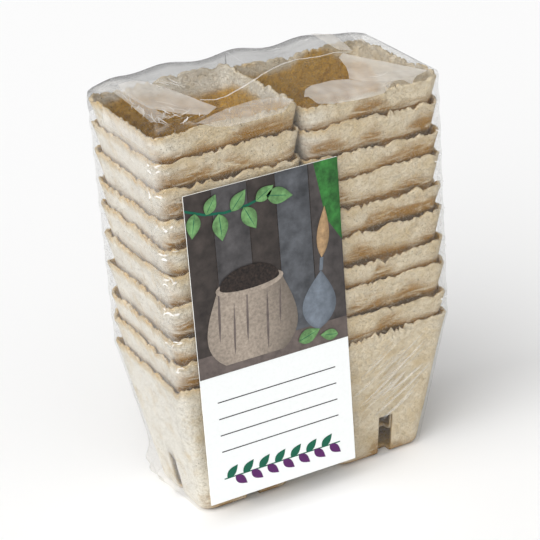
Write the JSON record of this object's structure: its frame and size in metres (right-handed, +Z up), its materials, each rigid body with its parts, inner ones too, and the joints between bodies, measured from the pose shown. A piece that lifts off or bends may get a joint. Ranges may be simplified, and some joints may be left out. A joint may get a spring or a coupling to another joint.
{
  "type": "pack of nested fibre seed pots",
  "caption": "Clear-wrapped shop pack of square tapered fibre seed pots nested in two side-by-side stacks, with a plain printed card on the front; the pots lift out one by one.",
  "frame": {"origin": "under the middle of the pack, on the surface that the two bottom pots stand on", "axes": "+Z up, +X to the right along the long front side, -Y towards the front with the card"},
  "size_m": [0.1228, 0.0627, 0.1676],
  "materials": {
    "fibre": "matte",
    "film": "gloss",
    "card": "satin"
  },
  "bodies": {
    "base": {"left_pot_01": "fibre", "right_pot_01": "fibre", "film_sleeve": "film", "label_card": "card"},
    "left_pot_02": {"left_pot_02": "fibre"},
    "left_pot_03": {"left_pot_03": "fibre"},
    "left_pot_04": {"left_pot_04": "fibre"},
    "left_pot_05": {"left_pot_05": "fibre"},
    "left_pot_06": {"left_pot_06": "fibre"},
    "left_pot_07": {"left_pot_07": "fibre"},
    "left_pot_08": {"left_pot_08": "fibre"},
    "left_pot_09": {"left_pot_09": "fibre"},
    "left_pot_10": {"left_pot_10": "fibre"},
    "film_top_left": {"film_top_left": "film"},
    "right_pot_02": {"right_pot_02": "fibre"},
    "right_pot_03": {"right_pot_03": "fibre"},
    "right_pot_04": {"right_pot_04": "fibre"},
    "right_pot_05": {"right_pot_05": "fibre"},
    "right_pot_06": {"right_pot_06": "fibre"},
    "right_pot_07": {"right_pot_07": "fibre"},
    "right_pot_08": {"right_pot_08": "fibre"},
    "right_pot_09": {"right_pot_09": "fibre"},
    "right_pot_10": {"right_pot_10": "fibre"},
    "film_top_right": {"film_top_right": "film"}
  },
  "joints": [
    {"name": "left_lift_02", "type": "slide", "parent": "base", "child": "left_pot_02", "axis": [0, 0, 1], "range_m": [0, 0.06]},
    {"name": "left_lift_03", "type": "slide", "parent": "left_pot_02", "child": "left_pot_03", "axis": [0, 0, 1], "range_m": [0, 0.06]},
    {"name": "left_lift_04", "type": "slide", "parent": "left_pot_03", "child": "left_pot_04", "axis": [0, 0, 1], "range_m": [0, 0.06]},
    {"name": "left_lift_05", "type": "slide", "parent": "left_pot_04", "child": "left_pot_05", "axis": [0, 0, 1], "range_m": [0, 0.06]},
    {"name": "left_lift_06", "type": "slide", "parent": "left_pot_05", "child": "left_pot_06", "axis": [0, 0, 1], "range_m": [0, 0.06]},
    {"name": "left_lift_07", "type": "slide", "parent": "left_pot_06", "child": "left_pot_07", "axis": [0, 0, 1], "range_m": [0, 0.06]},
    {"name": "left_lift_08", "type": "slide", "parent": "left_pot_07", "child": "left_pot_08", "axis": [0, 0, 1], "range_m": [0, 0.06]},
    {"name": "left_lift_09", "type": "slide", "parent": "left_pot_08", "child": "left_pot_09", "axis": [0, 0, 1], "range_m": [0, 0.06]},
    {"name": "left_lift_10", "type": "slide", "parent": "left_pot_09", "child": "left_pot_10", "axis": [0, 0, 1], "range_m": [0, 0.06]},
    {"name": "film_peel_left", "type": "hinge", "parent": "left_pot_10", "child": "film_top_left", "pos_m": [-0.0614, 0, 0.15659], "axis": [0, -1, 0], "range_deg": [0, 105]},
    {"name": "right_lift_02", "type": "slide", "parent": "base", "child": "right_pot_02", "axis": [0, 0, 1], "range_m": [0, 0.06]},
    {"name": "right_lift_03", "type": "slide", "parent": "right_pot_02", "child": "right_pot_03", "axis": [0, 0, 1], "range_m": [0, 0.06]},
    {"name": "right_lift_04", "type": "slide", "parent": "right_pot_03", "child": "right_pot_04", "axis": [0, 0, 1], "range_m": [0, 0.06]},
    {"name": "right_lift_05", "type": "slide", "parent": "right_pot_04", "child": "right_pot_05", "axis": [0, 0, 1], "range_m": [0, 0.06]},
    {"name": "right_lift_06", "type": "slide", "parent": "right_pot_05", "child": "right_pot_06", "axis": [0, 0, 1], "range_m": [0, 0.06]},
    {"name": "right_lift_07", "type": "slide", "parent": "right_pot_06", "child": "right_pot_07", "axis": [0, 0, 1], "range_m": [0, 0.06]},
    {"name": "right_lift_08", "type": "slide", "parent": "right_pot_07", "child": "right_pot_08", "axis": [0, 0, 1], "range_m": [0, 0.06]},
    {"name": "right_lift_09", "type": "slide", "parent": "right_pot_08", "child": "right_pot_09", "axis": [0, 0, 1], "range_m": [0, 0.06]},
    {"name": "right_lift_10", "type": "slide", "parent": "right_pot_09", "child": "right_pot_10", "axis": [0, 0, 1], "range_m": [0, 0.06]},
    {"name": "film_peel_right", "type": "hinge", "parent": "right_pot_10", "child": "film_top_right", "pos_m": [0.0614, 0, 0.15659], "axis": [0, 1, 0], "range_deg": [0, 105]}
  ]
}
